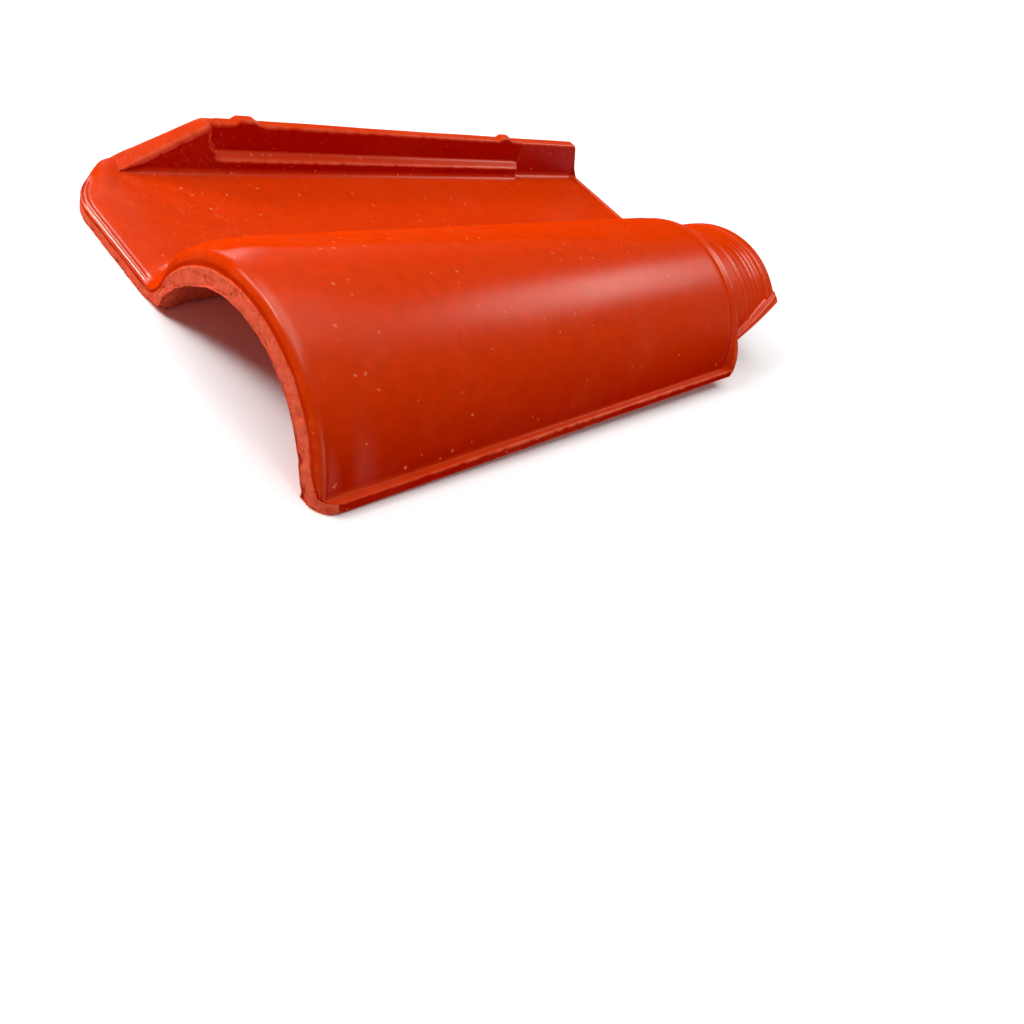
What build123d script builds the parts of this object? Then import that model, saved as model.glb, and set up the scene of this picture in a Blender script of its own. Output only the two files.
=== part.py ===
from build123d import *
import os
from math import atan2, cos, degrees, radians, sin, sqrt

# Clay roof tile: a flat pan with a side lip on the left and a half-round roll on the right.
# X runs across the tile, Y from its foot to its head and Z up. It is modelled level, with the
# lip's outer face at X = 0, the foot at Y = 0 and the pan's underside at Z = 0, and laid down last.

# Overall sizes
tile_width = 237.0
pan_length = 400.0
pan_thickness = 11.5
clay_wall = 9.0
corner_radius = 40.0

# Side lip
lip_height = 36.0
lip_foot_width = 14.0
lip_top_width = 11.0
lip_top_radius = 1.5
lip_foot_radius = 4.0
lip_mitre_start = 24.0
lip_mitre_end = 73.0

# Ledge inside the lip, where its upper wall steps back, and the thin wall at the head
ledge_height = 19.0
ledge_slope = 3.0
ledge_depth = 3.5
ledge_start = 75.0
thin_wall_length = 75.0
lip_head_lean = 11.0

# Saddles on top of the lip
saddle_height = 2.2
saddle_length = 18.0
foot_saddle_inset = 97.0
head_saddle_inset = 92.0

# Roll
roll_radius = 73.0
roll_axis_drop = 12.0
roll_end_radius = 4.0
end_stations = 4
valley_radius = 15.0
valley_under_radius = 7.0

# Foot, where the roll rounds down to the cut front face
foot_drop = 10.0
foot_shift = 3.5
foot_round_length = 22.0
foot_stations = 5

# Flange along the roll's low side
flange_thickness = 6.5
flange_width = 4.4
flange_corner_radius = 11.0

# Neck that the next tile up the roof covers
neck_length = 57.0
neck_overhang = 14.0
neck_play = 0.5
neck_cut_start = 18.0
neck_cut_end = 36.5
neck_flange_thickness = 2.5
neck_flange_width = 4.0
shoulder_length = 9.0

# Rebate round the pan's front edge and rim along its head edge
rebate_width = 5.0
rebate_depth = 4.5
rebate_start = 26.0
rim_width = 6.0
rim_height = 2.0

# Batten nib under the head of the pan
nib_drop = 8.0
nib_width = 44.0
nib_length = 16.0
nib_inset = 28.0
nib_centre = 52.0
nib_back_slope = 6.0

# Sizes that follow from the ones above
roll_length = pan_length - neck_length
roll_reach = sqrt(roll_radius**2 - (roll_axis_drop + flange_thickness) ** 2)
roll_axis = tile_width - flange_width - roll_reach
foot_radius = roll_radius - foot_drop
neck_radius = foot_radius - clay_wall + pan_thickness - neck_play
tile_length = pan_length + neck_overhang
ledge_end = pan_length - thin_wall_length
nib_place = pan_length - nib_inset
rest_pitch = degrees(atan2(nib_drop, nib_place))
beyond = 1.0


def across(place):
    """A plane square to the tile's length, seen from the foot, with the tile's X and Z."""
    return Plane.XZ.offset(-place)


def below(height):
    """Takes away whatever a sketch of the section has below that height."""
    with Locations((0, height)):
        Rectangle(4 * tile_width, 4 * roll_radius, align=(Align.CENTER, Align.MAX), mode=Mode.SUBTRACT)


def section_corner(sketch, height):
    """The section's corner at that height, where the roll meets the pan."""
    corners = sketch.vertices().filter_by(lambda v: abs(v.Y - height) < 0.01)
    return corners.filter_by(lambda v: lip_foot_width < v.X < roll_axis).sort_by(Axis.X)[-1]


def tile_section(place, outer_radius, shift=0.0, flange=True):
    """The tile cut across without its lip: pan, valley, roll of the given radius and flange."""
    axis = roll_axis + shift
    with BuildSketch(across(place)) as section:
        Rectangle(axis, pan_thickness, align=(Align.MIN, Align.MIN))
        with Locations((axis, -roll_axis_drop)):
            Circle(outer_radius)
        below(0)
        if flange:
            with Locations((axis, 0)):
                Rectangle(tile_width - axis, flange_thickness, align=(Align.MIN, Align.MIN))
        with Locations((axis, -roll_axis_drop)):
            Circle(outer_radius - clay_wall, mode=Mode.SUBTRACT)
        fillet(section_corner(section, pan_thickness), valley_radius)
        fillet(section_corner(section, 0), valley_under_radius)
    return section.sketch.face()


def foot_section(step):
    """One section of the rounded foot, with its roll smaller and nearer the flange."""
    share = step / (foot_stations - 1)
    fall = (1 - share) ** 2
    return tile_section(foot_round_length * share, roll_radius - foot_drop * fall, foot_shift * fall)


def end_section(step):
    """One section of the roll's rounded head end."""
    turn = radians(90) * step / (end_stations - 1)
    place = roll_length - roll_end_radius * (1 - sin(turn))
    return tile_section(place, roll_radius - roll_end_radius * (1 - cos(turn)))


def lip_section(place, foot_width, top_width, ledge=False):
    """The lip cut across, with a strip of pan beside it for the fillet at its foot."""
    strip = foot_width + lip_foot_radius + beyond
    outline = [(0, 0), (0, lip_height), (top_width, lip_height)]
    if ledge:
        outline.append((lip_foot_width - ledge_depth, ledge_height + ledge_slope))
        outline.append((lip_foot_width - ledge_depth / 4, ledge_height))
    outline += [(foot_width, pan_thickness), (strip, pan_thickness), (strip, 0)]
    with BuildSketch(across(place)) as section:
        Polygon(*outline, align=None)
        tops = section.vertices().filter_by(lambda v: v.Y > lip_height - 0.01)
        fillet(tops, lip_top_radius)
        feet = section.vertices().filter_by(lambda v: abs(v.Y - pan_thickness) < 0.01)
        fillet(feet.sort_by(Axis.X)[0], lip_foot_radius)
    return section.sketch.face()


def flat_end(outer_radius):
    """Where the pan's flat top ends and the valley up to a roll of that radius begins."""
    rise = pan_thickness + valley_radius + roll_axis_drop
    return roll_axis - sqrt((outer_radius + valley_radius) ** 2 - rise**2)


def ring(outer_radius, inner_radius):
    """An arched band about the roll's axis."""
    with Locations((roll_axis, -roll_axis_drop)):
        Circle(outer_radius)
        Circle(inner_radius, mode=Mode.SUBTRACT)


# Flange along the neck's low side, which is cut on a slope to clear the next tile's lip
with BuildPart() as neck_flange:
    with BuildSketch(Plane.YZ.offset(roll_axis)):
        Polygon(
            (roll_length - beyond, neck_cut_start),
            (tile_length, neck_cut_end),
            (tile_length, neck_cut_end + neck_flange_thickness),
            (roll_length - beyond, neck_cut_start + neck_flange_thickness),
            align=None,
        )
    extrude(amount=roll_radius)
    with BuildSketch(across(tile_length)):
        ring(neck_radius + neck_flange_width, neck_radius - clay_wall)
    extrude(amount=tile_length - roll_length + beyond, mode=Mode.INTERSECT)

with BuildPart() as roof_tile:
    # Pan and roll between the rounded foot and the roll's rounded end
    body_end = roll_length - roll_end_radius
    extrude(tile_section(body_end, roll_radius), amount=body_end - foot_round_length)
    loft([foot_section(step) for step in range(foot_stations)])
    loft([end_section(step) for step in range(end_stations)])

    # Head of the pan, with the neck that carries the roll on and the shoulder between them
    extrude(tile_section(pan_length, neck_radius, flange=False), amount=neck_length)
    with BuildSketch(across(tile_length)):
        ring(neck_radius, neck_radius - clay_wall)
        below(pan_thickness)
    extrude(amount=neck_overhang)
    with BuildSketch(across(roll_length)):
        ring(roll_radius - roll_end_radius, neck_radius - clay_wall)
        below(0)
    extrude(amount=shoulder_length)

    # Low side of the neck, cut down to its flange
    with BuildSketch(Plane.YZ.offset(roll_axis)):
        Polygon(
            (roll_length, neck_cut_start),
            (tile_length, neck_cut_end),
            (tile_length, -beyond),
            (roll_length, -beyond),
            align=None,
        )
    extrude(amount=tile_width - roll_axis + beyond, mode=Mode.SUBTRACT)
    add(neck_flange.part)

    # Side lip in three stretches: thick at the foot, stepped back above the ledge, thin at the head
    extrude(lip_section(ledge_start, lip_foot_width, lip_top_width), amount=ledge_start)
    stepped = lip_section(ledge_end, lip_foot_width, lip_top_width - ledge_depth, ledge=True)
    extrude(stepped, amount=ledge_end - ledge_start)
    thin = lip_section(pan_length, lip_foot_width - ledge_depth, lip_top_width - ledge_depth)
    extrude(thin, amount=thin_wall_length)

    # Mitre of the lip at the foot, and its end at the head, which leans back
    with BuildSketch(Plane.YZ.offset(-beyond)):
        Polygon(
            (-beyond, pan_thickness),
            (lip_mitre_start, pan_thickness),
            (lip_mitre_end, lip_height),
            (lip_mitre_end, lip_height + beyond),
            (-beyond, lip_height + beyond),
            align=None,
        )
    extrude(amount=lip_foot_width + lip_foot_radius + 2 * beyond, mode=Mode.SUBTRACT)
    with BuildSketch(Plane.YZ.offset(-beyond)):
        Polygon(
            (pan_length, pan_thickness + lip_foot_radius),
            (pan_length, lip_height + beyond),
            (pan_length - lip_head_lean, lip_height + beyond),
            align=None,
        )
    extrude(amount=lip_foot_width + 2 * beyond, mode=Mode.SUBTRACT)

    # Round corners of the foot: a wide one under the mitre and a small one on the flange
    with BuildSketch(Plane.XY.offset(-beyond)):
        Rectangle(corner_radius, corner_radius, align=(Align.MIN, Align.MIN))
        with Locations((corner_radius, corner_radius)):
            Circle(corner_radius, mode=Mode.SUBTRACT)
    extrude(amount=lip_height + 2 * beyond, mode=Mode.SUBTRACT)
    with BuildSketch(Plane.XY.offset(-beyond)):
        with Locations((tile_width, 0)):
            Rectangle(flange_corner_radius, flange_corner_radius, align=(Align.MAX, Align.MIN))
        with Locations((tile_width - flange_corner_radius, flange_corner_radius)):
            Circle(flange_corner_radius, mode=Mode.SUBTRACT)
    extrude(amount=flange_thickness + 2 * beyond, mode=Mode.SUBTRACT)

    # Rebate round the pan's front edge, from the mitre to the valley
    with BuildSketch(Plane.XY.offset(pan_thickness - rebate_depth)):
        Rectangle(flat_end(foot_radius), corner_radius, align=(Align.MIN, Align.MIN))
        with Locations((corner_radius, corner_radius)):
            Circle(corner_radius - rebate_width, mode=Mode.SUBTRACT)
        with Locations((corner_radius, rebate_width)):
            Rectangle(roll_axis, corner_radius, align=(Align.MIN, Align.MIN), mode=Mode.SUBTRACT)
        with Locations((0, rebate_start)):
            Rectangle(corner_radius, corner_radius, align=(Align.MIN, Align.MIN), mode=Mode.SUBTRACT)
    extrude(amount=rebate_depth + beyond, mode=Mode.SUBTRACT)

    # Rim along the head edge of the pan
    thin_foot = lip_foot_width - ledge_depth
    with BuildSketch(Plane.XY.offset(pan_thickness)):
        with Locations((thin_foot, pan_length)):
            Rectangle(flat_end(neck_radius) - thin_foot, rim_width, align=(Align.MIN, Align.MAX))
    extrude(amount=rim_height, taper=20)

    # Saddles on top of the lip
    with BuildSketch(Plane.YZ):
        for place in (foot_saddle_inset, pan_length - head_saddle_inset):
            with Locations((place, lip_height - lip_top_radius)):
                Trapezoid(saddle_length, saddle_height + lip_top_radius, 45, align=(Align.CENTER, Align.MIN))
    extrude(amount=lip_top_width - ledge_depth)

    # Batten nib under the head: a square hooking face towards the foot and a sloping back
    with BuildSketch(Plane.YZ.offset(nib_centre - nib_width / 2)):
        Polygon(
            (nib_place, pan_thickness / 2),
            (nib_place, -nib_drop),
            (nib_place + nib_length - nib_back_slope, -nib_drop),
            (nib_place + nib_length, 0),
            (nib_place + nib_length, pan_thickness / 2),
            align=None,
        )
    extrude(amount=nib_width)

# Laid on a level floor: the nib lifts the head, and the foot and the nib touch
roof_tile.part = roof_tile.part.rotate(Axis.X, rest_pitch)
box = roof_tile.part.bounding_box()
roof_tile.part = roof_tile.part.translate((-box.center().X, -box.center().Y, -box.min.Z))

os.makedirs("parts", exist_ok=True)
roof_tile.part.label = "roof_tile"
export_step(roof_tile.part, "parts/roof_tile.step")
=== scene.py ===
from math import atan2, cos, pi, radians, sin, sqrt

import bmesh
import bpy
import numpy as np
from mathutils import Matrix, Vector, noise


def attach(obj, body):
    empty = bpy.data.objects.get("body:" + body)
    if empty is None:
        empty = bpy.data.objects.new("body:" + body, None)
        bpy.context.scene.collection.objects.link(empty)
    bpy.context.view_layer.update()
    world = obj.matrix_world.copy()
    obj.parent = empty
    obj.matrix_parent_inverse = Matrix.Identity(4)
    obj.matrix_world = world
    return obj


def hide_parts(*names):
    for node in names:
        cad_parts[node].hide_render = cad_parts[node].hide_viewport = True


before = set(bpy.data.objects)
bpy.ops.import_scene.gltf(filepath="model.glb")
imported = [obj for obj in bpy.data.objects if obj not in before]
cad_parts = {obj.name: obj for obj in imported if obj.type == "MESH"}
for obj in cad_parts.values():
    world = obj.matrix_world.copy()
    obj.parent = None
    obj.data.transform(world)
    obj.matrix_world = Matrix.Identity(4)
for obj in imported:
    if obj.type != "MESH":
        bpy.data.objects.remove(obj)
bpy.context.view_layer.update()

# Pressed sheet: the flat pan, the valley beside it, the roll with its flange and the neck at the
# roll's head, one wall of red clay pressed between plaster moulds. Lengths are millimetres on the
# level tile: X across it from the lip's outer face, Y from the foot, Z from the pan's underside.
TILE_WIDTH = 237.0
PAN_LENGTH = 400.0
PAN_THICKNESS = 11.5
CLAY_WALL = 9.0
CORNER_RADIUS = 40.0
ROLL_RADIUS = 73.0
AXIS_DROP = 12.0
FLANGE_THICKNESS = 6.5
FLANGE_WIDTH = 4.4
FLANGE_CORNER = 11.0
ROLL_AXIS = TILE_WIDTH - FLANGE_WIDTH - sqrt(ROLL_RADIUS**2 - (AXIS_DROP + FLANGE_THICKNESS) ** 2)
VALLEY_RADIUS = 15.0
UNDER_RADIUS = 7.0
NECK_LENGTH = 57.0
NECK_RADIUS = 65.5
ROLL_LENGTH = PAN_LENGTH - NECK_LENGTH
NECK_END = PAN_LENGTH + 14.0


def soft_step(low, high, value):
    """0 below low, 1 above high and an even, rounded rise between them."""
    share = np.clip((value - low) / (high - low), 0, 1)
    return share * share * (3 - 2 * share)


def quarter_round(share, fullness):
    """0 at the start of a rounded edge and nearly 1 at its end, along a quarter of a circle."""
    return 1 - np.sqrt(1 - fullness * np.clip(share, 0, 1) ** 2)


# Roll along its length: it falls a little towards the foot, bends down over the last 4 mm of it
# and is turned in slightly at its head end, where a low rim widens into the end of the flange.
BORE_FALL = 10.0
BORE_FALL_LENGTH = 22.0
FOOT_SHIFT = 3.5
FOOT_FALL = 2.8
FOOT_FALL_LENGTH = 34.0
BEND_START = 3.3
BEND_SOFTNESS = 0.7
BEND_SLOPE = 0.85
ROLL_END_DROP = 1.7
END_RIM_HEIGHT = 1.2
END_RIM_WIDENING = 4.4
END_RIM_SPREAD = 16.0

# Neck: the roll's rim runs out on it, then come a raised ring, two fine grooves and an end rim
RUN_OUT = 4.6
SECOND_RUN_OUT = 0.6
RING_HEIGHT = 0.9
RING_SPREAD = 2.2
RING_PLACE = ROLL_LENGTH + 28.5
GROOVE_DEPTH = 0.3
GROOVE_SPREAD = 1.9
GROOVE_PLACES = (PAN_LENGTH - 14.0, PAN_LENGTH - 8.0)
NECK_RIM_HEIGHT = 1.7
NECK_ROUND = 2.6
NECK_ROUND_DROP = 2.2
SHOULDER_LENGTH = 9.0
NECK_CUT_START = 18.0
NECK_CUT_END = 36.5
NECK_FLANGE = 4.0
NECK_FLANGE_THICKNESS = 2.5


def axis_at(y):
    """X of the roll's axis, which moves towards the flange where the foot rounds down."""
    return ROLL_AXIS + FOOT_SHIFT * np.clip(1 - y / BORE_FALL_LENGTH, 0, 1) ** 2


def neck_radius(y):
    """The neck's outside, with all that is raised on it or sunk in it."""
    run_out = RUN_OUT * (1 - soft_step(ROLL_LENGTH + 1.6, ROLL_LENGTH + 4.4, y))
    run_out = run_out + SECOND_RUN_OUT * (1 - soft_step(ROLL_LENGTH + 23, ROLL_LENGTH + 26, y))
    ring = RING_HEIGHT * np.exp(-(((y - RING_PLACE) / RING_SPREAD) ** 2))
    grooves = sum(GROOVE_DEPTH * np.exp(-(((y - place) / GROOVE_SPREAD) ** 2)) for place in GROOVE_PLACES)
    rim = NECK_RIM_HEIGHT * soft_step(PAN_LENGTH - 1, PAN_LENGTH + 3, y)
    end = NECK_ROUND_DROP * quarter_round((y - NECK_END + NECK_ROUND) / NECK_ROUND, 0.98)
    return NECK_RADIUS + run_out + ring - grooves + rim - end


def roll_radius(y):
    """The roll's outside from the bend at its foot to its head end, and the neck after it."""
    bend = BEND_SLOPE * BEND_SOFTNESS * np.log1p(np.exp((BEND_START - y) / BEND_SOFTNESS))
    foot = FOOT_FALL * np.clip(1 - y / FOOT_FALL_LENGTH, 0, 1) ** 2 + bend
    roll = ROLL_RADIUS - foot - ROLL_END_DROP * soft_step(ROLL_LENGTH - 14, ROLL_LENGTH - 3, y)
    return np.where(y > ROLL_LENGTH + 0.1, neck_radius(y), roll)


def end_rim(x, y):
    """How high the rim stands at the roll's head end."""
    reach = soft_step(ROLL_LENGTH - 7, ROLL_LENGTH - 2, y) * (y < ROLL_LENGTH + 0.1)
    return reach * (END_RIM_HEIGHT + END_RIM_WIDENING * soft_step(TILE_WIDTH - END_RIM_SPREAD, TILE_WIDTH, x))


def bore_radius(y):
    """The roll's inside, which narrows at a shoulder before the neck."""
    foot = BORE_FALL * np.clip(1 - y / BORE_FALL_LENGTH, 0, 1) ** 2
    step = soft_step(ROLL_LENGTH - SHOULDER_LENGTH - 1, ROLL_LENGTH - SHOULDER_LENGTH + 2, y)
    return ROLL_RADIUS - foot - CLAY_WALL - step * (ROLL_RADIUS - NECK_RADIUS)


def cut_height(y):
    """Z of the roll's low edge: the floor, then the slope that the neck is cut to."""
    share = (y - ROLL_LENGTH) / (NECK_END - ROLL_LENGTH)
    return np.where(y > ROLL_LENGTH + 0.5, NECK_CUT_START + share * (NECK_CUT_END - NECK_CUT_START), 0.0)


def edge_thickness(y):
    """Thickness of the flange on the roll and of the thinner one on the neck, which meets the rim."""
    on_neck = NECK_FLANGE_THICKNESS + 1.0 * soft_step(ROLL_LENGTH + 7, NECK_END - 2, y)
    return np.where(y > ROLL_LENGTH + 0.5, on_neck, FLANGE_THICKNESS)


# Inside of the foot: the mould lets the bore open towards the front, most at the valley, where
# the fold of the sheet is drawn thin at the edge and left thicker behind it.
FLARE = 2.3
VALLEY_FLARE = 3.7
FLANGE_FLARE = 3.0
FLARE_LENGTH = 15.0
FOLD_FLARE = 1.2
FOLD_THICKENING = 2.2
FOLD_SHARPENING = 4.0
FOLD_LIFT = 1.4
FOLD_PLACE = 102.0


def bore_flare(x, y):
    """How much wider the bore is at a place than its radius says."""
    side = FLARE + VALLEY_FLARE * (1 - soft_step(103, 134, x)) + FLANGE_FLARE * soft_step(214, 226, x)
    fold = 1 - soft_step(100, 122, x)
    thinned = FOLD_FLARE * fold * np.clip(1 - y / 4, 0, 1) ** 1.5
    thickened = FOLD_THICKENING * fold * soft_step(2, 7, y) * (1 - soft_step(18, 60, y))
    return side * np.clip(1 - y / FLARE_LENGTH, 0, 1) ** 1.6 + (thinned - thickened)


def under_radius(y):
    """Radius under the valley, where the sheet's underside turns up into the bore."""
    return UNDER_RADIUS - FOLD_SHARPENING * soft_step(2, 8, y) * (1 - soft_step(20, 60, y))


# Front edge: the pan slopes down to it and carries two thin beads with a groove between, the drip
# edge; elsewhere it is simply rounded. Each pair of lists gives distances in from the edge and how
# far the face lies below its flat there.
DRIP_AT = [0.0, 0.12, 0.3, 0.6, 1.2, 2.0, 3.2, 5.0, 8.0, 11.0, 14.0]
DRIP_DROP = [5.4, 4.95, 4.7, 4.5, 4.2, 3.8, 3.2, 2.2, 0.9, 0.2, 0.0]
BEAD_AT = [0.0, 0.3, 0.55, 0.8, 1.05, 1.3, 1.6, 1.9, 2.2, 2.5, 2.9, 3.4]
BEAD_DROP = [0.0, -0.2, -0.3, -0.1, 0.35, 0.55, 0.2, -0.35, -0.55, -0.4, -0.1, 0.0]
EDGE_ROUND = 1.8
STEP_BACK = 0.9
SWELL_HEIGHT = 2.0
RIM_WIDTH = 6.0
RIM_HEIGHT = 1.8
HEAD_ROUND = 1.6


def bead_share(x, y):
    """1 where the pan's front edge carries the two beads, fading at the valley and the mitre."""
    left = np.where(x < CORNER_RADIUS, 1 - soft_step(9, 14, y), 1.0)
    return left * (1 - soft_step(88, 95, x))


def drip_share(x, y):
    """1 where the pan's face slopes down to its front edge, fading in the valley and at the mitre."""
    left = np.where(x < CORNER_RADIUS, 1 - soft_step(10, 22, y), 1.0)
    return left * (1 - soft_step(97, 109, x))


def front_distance(x, y):
    """How far a place on the sheet is from the outline of the foot."""
    corner = CORNER_RADIUS - np.hypot(CORNER_RADIUS - x, CORNER_RADIUS - y)
    in_corner = (x < CORNER_RADIUS) & (y < CORNER_RADIUS)
    return np.where(in_corner, corner, np.where(x < CORNER_RADIUS, x, y))


def front_line(x):
    """Y of the foot's outline at a place across: round corners at the mitre and at the flange."""
    left = np.clip(CORNER_RADIUS - x, 0, CORNER_RADIUS)
    right = np.clip(x - TILE_WIDTH + FLANGE_CORNER, 0, FLANGE_CORNER)
    return (CORNER_RADIUS - np.sqrt(CORNER_RADIUS**2 - left**2)
            + FLANGE_CORNER - np.sqrt(FLANGE_CORNER**2 - right**2))


def corner_swell(x, y):
    """The thicker border of the corner between the end of the beads and the mitre."""
    along = soft_step(8, 24, y) * (1 - soft_step(34, 46, y))
    return SWELL_HEIGHT * along * (1 - soft_step(4, 15, front_distance(x, y)))


def head_drop(x, y):
    """How far the pan's face lies below its flat at the head: a low rim with a rounded edge."""
    rim = soft_step(PAN_LENGTH - RIM_WIDTH - 1, PAN_LENGTH - RIM_WIDTH + 1, y)
    edge = HEAD_ROUND * quarter_round((y - PAN_LENGTH + HEAD_ROUND) / HEAD_ROUND, 0.98)
    return edge * soft_step(11, 15, x) - RIM_HEIGHT * rim * soft_step(9, 12, x)


def face_drop(x, y, back, part):
    """How far the glazed face lies below the plain section, with all its edges."""
    depth = front_distance(x, y)
    edge = EDGE_ROUND * quarter_round(1 - np.clip(depth - back, 0, None) / EDGE_ROUND, 0.97)
    drip = drip_share(x, y)
    drop = drip * np.interp(depth, DRIP_AT, DRIP_DROP) + (1 - drip) * edge
    drop = drop + bead_share(x, y) * np.interp(depth, BEAD_AT, BEAD_DROP)
    return drop + (part < VALLEY) * (head_drop(x, y) - corner_swell(x, y))


# The sheet is drawn as two grids, its glazed face and its raw face. Columns run across five parts
# of it, and rows lie closer together where its shape changes quickly.
CORNER, PAN, VALLEY, ROLL, LOW = range(5)
PART_COLUMNS = {CORNER: 34, PAN: 34, VALLEY: 12, ROLL: 104, LOW: 14}
FLANGE_BEND = 0.8
SETTLING_PASSES = 4
STRETCHES = [(0.3, 3.4, 0.25), (3.4, 6.4, 0.5), (6.4, 12, 0.5), (12, 24, 1.2), (24, 60, 3.0), (60, 327, 6.7),
             (328, 343, 1.3), (343, 343.7, 0.3), (344.4, 348, 0.6), (349, 366, 2.4), (366.4, 376, 0.8),
             (377, 384, 2.0), (384.4, 393, 0.6), (393.6, 400, 0.9)]
SHEET_ROWS = np.concatenate([[0.0, 0.12]] + [np.arange(*stretch) for stretch in STRETCHES] + [[PAN_LENGTH]])
PAST_PAN = [0.0, 1.2, 2.4, 3.6, 4.8, 6.5, 8.5, 10.5, 11.6, 12.3, 13.0, 13.5, 13.85, 14.0]
OVERHANG_ROWS = PAN_LENGTH + np.array(PAST_PAN)


def sheet_side(y, part, share, radius, base, fillet, low):
    """X and Z on one face of the pan, the valley and the roll, by the share of the way across each."""
    axis = axis_at(y)
    rise = base + fillet + AXIS_DROP
    flat_end = axis - np.sqrt((radius + fillet) ** 2 - rise**2)
    lean = np.arctan2(rise, flat_end - axis)
    low_angle = np.arcsin(np.clip((AXIS_DROP + low) / radius, -1, 1))
    bend = np.where(part == VALLEY, -pi / 2 + share * (lean - pi / 2), lean + share * (low_angle - lean))
    pan_x = CORNER_RADIUS + share * (flat_end - CORNER_RADIUS)
    valley_x, valley_z = flat_end + fillet * np.cos(bend), base + fillet + fillet * np.sin(bend)
    roll_x, roll_z = axis + radius * np.cos(bend), radius * np.sin(bend) - AXIS_DROP
    x = np.where(part == PAN, pan_x, np.where(part == VALLEY, valley_x, roll_x))
    z = np.where(part < VALLEY, base, np.where(part == VALLEY, valley_z, roll_z))
    return np.where(part == CORNER, CORNER_RADIUS * share, x), z


def low_side(y, share, radius, inner):
    """X and Z of the flange: over its top and down its edge, or along its flat underside."""
    axis, cut = axis_at(y), cut_height(y)
    neck = y > ROLL_LENGTH + 0.1
    thick = edge_thickness(y)
    radius_low = roll_radius(y) + end_rim(TILE_WIDTH - 1, y)
    foot = axis + np.sqrt(radius_low**2 - (cut + thick + AXIS_DROP) ** 2)
    strip = np.where(y > ROLL_LENGTH + 0.5, NECK_FLANGE, 0.6) - 1.2 * soft_step(NECK_END - 3, NECK_END, y)
    edge_low = axis + np.sqrt((NECK_RADIUS + strip) ** 2 - (cut + AXIS_DROP) ** 2)
    edge_top = axis + np.sqrt((NECK_RADIUS + strip) ** 2 - (cut + thick + AXIS_DROP) ** 2)
    edge_low = np.where(neck, edge_low, TILE_WIDTH)
    edge_top = np.where(neck, edge_top, TILE_WIDTH)
    if inner:
        start = axis + np.sqrt(radius**2 - (cut + AXIS_DROP) ** 2)
        return start + share * (edge_low - FLANGE_BEND - start), cut + 0 * y
    flat = np.clip(share / 0.4, 0, 1)
    top_turn = np.clip((share - 0.4) / 0.15, 0, 1) * pi / 2
    down = np.clip((share - 0.55) / 0.3, 0, 1)
    low_turn = np.clip((share - 0.85) / 0.15, 0, 1) * pi / 2
    x = foot + flat * (edge_top - FLANGE_BEND - foot) + FLANGE_BEND * np.sin(top_turn)
    x = x + down * (edge_low - edge_top) - FLANGE_BEND * (1 - np.cos(low_turn))
    z = cut + thick - FLANGE_BEND * (1 - np.cos(top_turn)) - down * (thick - 2 * FLANGE_BEND)
    return x, z - FLANGE_BEND * np.sin(low_turn)


def sheet_face(rows, inner):
    """One face of the sheet as a grid of points, with the part of the sheet of each column."""
    corner = 1 - np.cos(np.linspace(0, pi / 2, PART_COLUMNS[CORNER], endpoint=False))
    shares = [corner]
    shares += [np.linspace(0, 1, PART_COLUMNS[kind], endpoint=False) for kind in (PAN, VALLEY, ROLL)]
    shares.append(np.linspace(0, 1, PART_COLUMNS[LOW]))
    share = np.concatenate(shares)
    part = np.repeat(list(PART_COLUMNS), list(PART_COLUMNS.values()))
    row_place = rows[:, None]
    y = np.tile(row_place, (1, len(part)))
    fade = np.clip(1 - y / 200, 0, 1) ** 2
    x = back = None
    for _ in range(SETTLING_PASSES):
        if inner:
            flare = 0 if x is None else bore_flare(x, y)
            radius, base, fillet, low = bore_radius(y) + flare, 0.0, under_radius(y), cut_height(y)
        else:
            drop = 0 if x is None else face_drop(x, y, back, part)
            rim = 0 if x is None else end_rim(x, y)
            radius, base, fillet = roll_radius(y) - drop + rim, PAN_THICKNESS - drop, VALLEY_RADIUS + drop
            low = cut_height(y) + edge_thickness(y)
        x, z = sheet_side(y, part, share, radius, base, fillet, low)
        x_low, z_low = low_side(y, share, radius, inner)
        x = np.where(part == LOW, x_low, x)
        z = np.where(part == LOW, z_low, z)
        if inner:
            fold = np.exp(-((x - FOLD_PLACE) / 4.5) ** 2)
            z = z + FOLD_LIFT * fold * np.clip(1 - y / 6, 0, 1) ** 1.5
        back = 0 if inner else STEP_BACK * (1 - drip_share(x, 0 * y))
        y = row_place + (front_line(x) + back) * fade
    return np.stack([x, y, z], axis=-1), part


class Clay:
    """Grids of points sewn into one mesh, each point with how raw the clay and how wet the glaze is."""

    def __init__(self):
        self.points, self.raw, self.shine, self.faces = [], [], [], []

    def grid(self, points, raw, closed=False, shine=0.0):
        """Adds rows of points joined by four-sided faces; raw and shine are one number or one a point."""
        rows, columns = points.shape[:2]
        start = sum(len(p) for p in self.points)
        self.points.append(points.reshape(-1, 3))
        self.raw.append(np.broadcast_to(raw, (rows, columns)).reshape(-1))
        self.shine.append(np.broadcast_to(shine, (rows, columns)).reshape(-1))
        for i in range(rows - 1):
            for j in range(columns if closed else columns - 1):
                k = (j + 1) % columns
                a, b = start + i * columns, start + (i + 1) * columns
                self.faces.append((a + j, a + k, b + k, b + j))

    def cap(self, ring, raw):
        """Closes a ring of points with faces to its middle."""
        start = sum(len(p) for p in self.points)
        self.points.append(np.vstack([ring, ring.mean(axis=0)]))
        self.raw.append(np.full(len(ring) + 1, raw))
        self.shine.append(np.zeros(len(ring) + 1))
        for j in range(len(ring)):
            self.faces.append((start + j, start + (j + 1) % len(ring), start + len(ring)))


def between(first, last, shares):
    """Rows of points from one edge to another."""
    shares = np.asarray(shares, float)[:, None, None]
    return first[None] * (1 - shares) + last[None] * shares


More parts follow.
